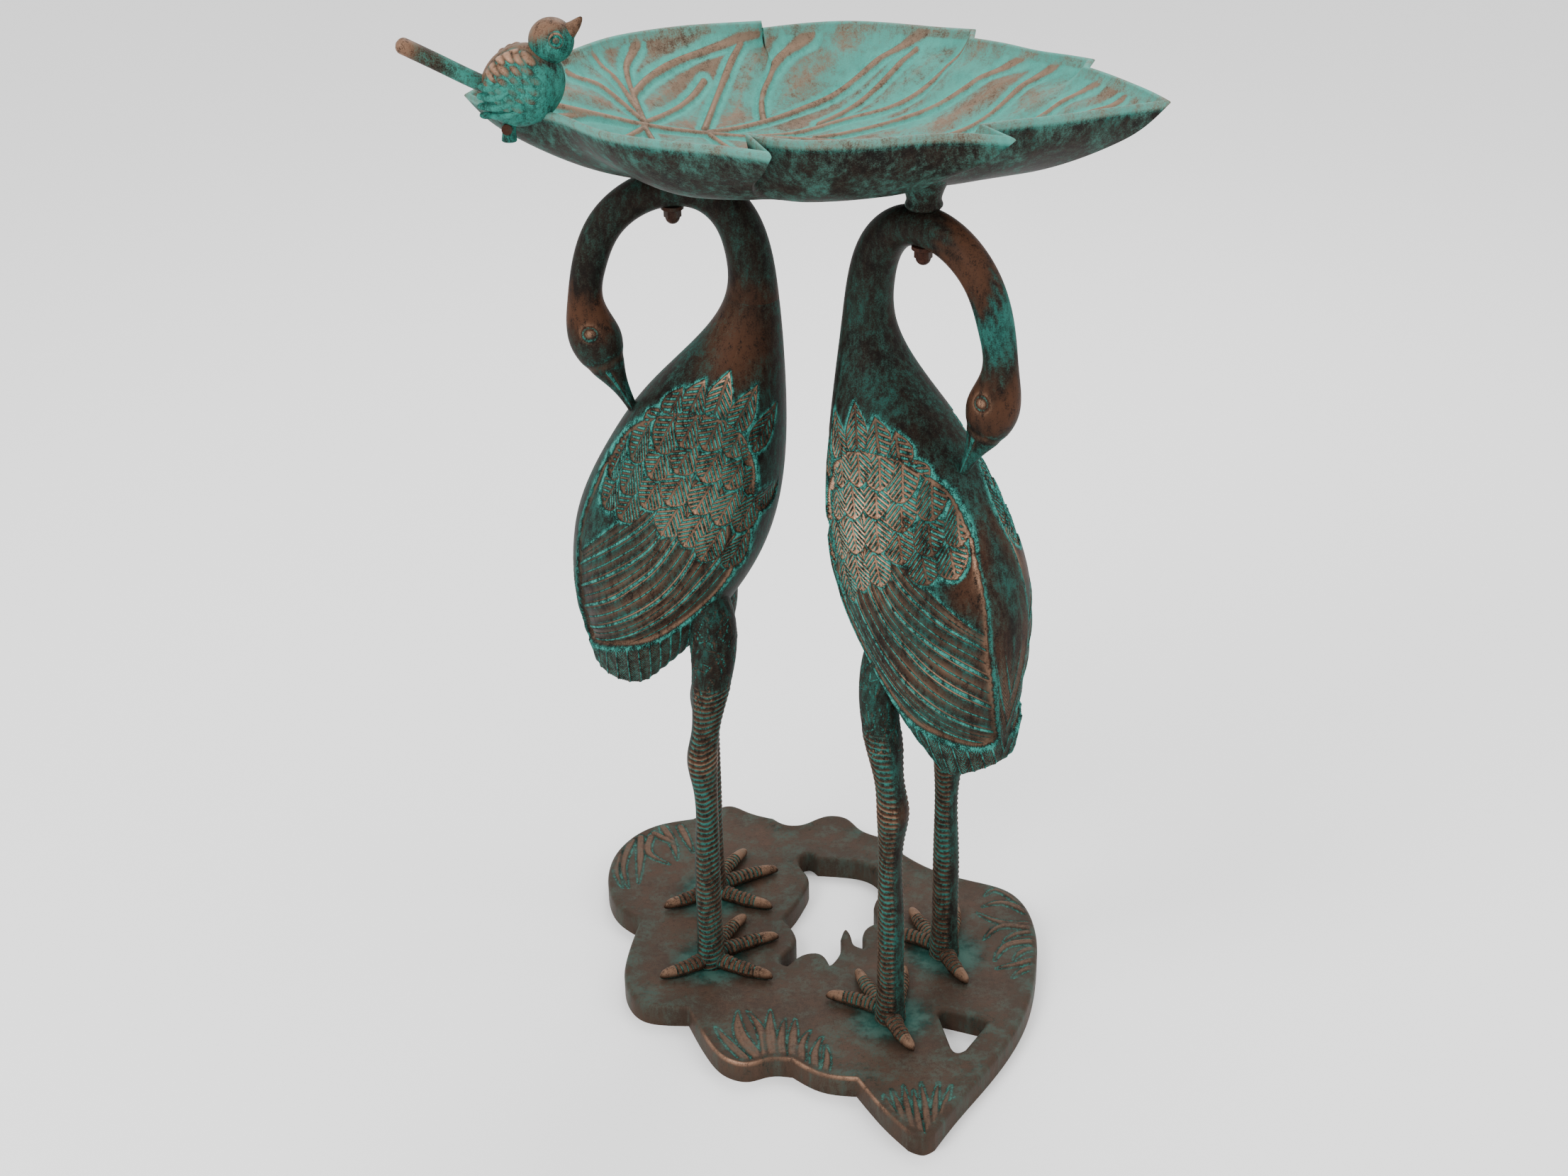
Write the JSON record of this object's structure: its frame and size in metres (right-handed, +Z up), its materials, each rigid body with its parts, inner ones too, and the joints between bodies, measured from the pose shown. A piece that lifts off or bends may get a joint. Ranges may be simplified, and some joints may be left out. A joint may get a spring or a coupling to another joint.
{
  "type": "bird bath",
  "caption": "Leaf-shaped bowl carried on the arched necks of facing cranes that stand on a flat openwork plate, with a small bird on the rim.",
  "frame": {"origin": "on the ground, on the base plate's underside near the middle of its outline", "axes": "+Z up, +X along the leaf bowl towards its tip, +Y away from the side with the plate's pointed end"},
  "size_m": [0.4916, 0.4308, 0.7792],
  "materials": {
    "plate_bronze": "brown bronze paint with green wash, satin",
    "crane_verdigris": "dark bronze with verdigris in the recesses, satin",
    "bowl_verdigris": "turquoise verdigris over copper, satin",
    "bird_copper": "rubbed copper over teal, satin",
    "nut_brown": "dark red-brown",
    "bolt_steel": "zinc plated"
  },
  "bodies": {
    "root": {"base_plate": "plate_bronze", "left_crane_body": "crane_verdigris", "left_crane_neck": "crane_verdigris", "left_crane_left_leg": "crane_verdigris", "left_crane_right_leg": "crane_verdigris", "right_crane_body": "crane_verdigris", "right_crane_neck": "crane_verdigris", "right_crane_left_leg": "crane_verdigris", "right_crane_right_leg": "crane_verdigris", "leaf_bowl": "bowl_verdigris", "bowl_studs": "bolt_steel", "stud_washers": "nut_brown", "dome_nuts": "nut_brown", "foot_bolts": "bolt_steel", "foot_washers": "bolt_steel", "small_bird": "bird_copper", "bird_screw": "bolt_steel"}
  },
  "joints": []
}
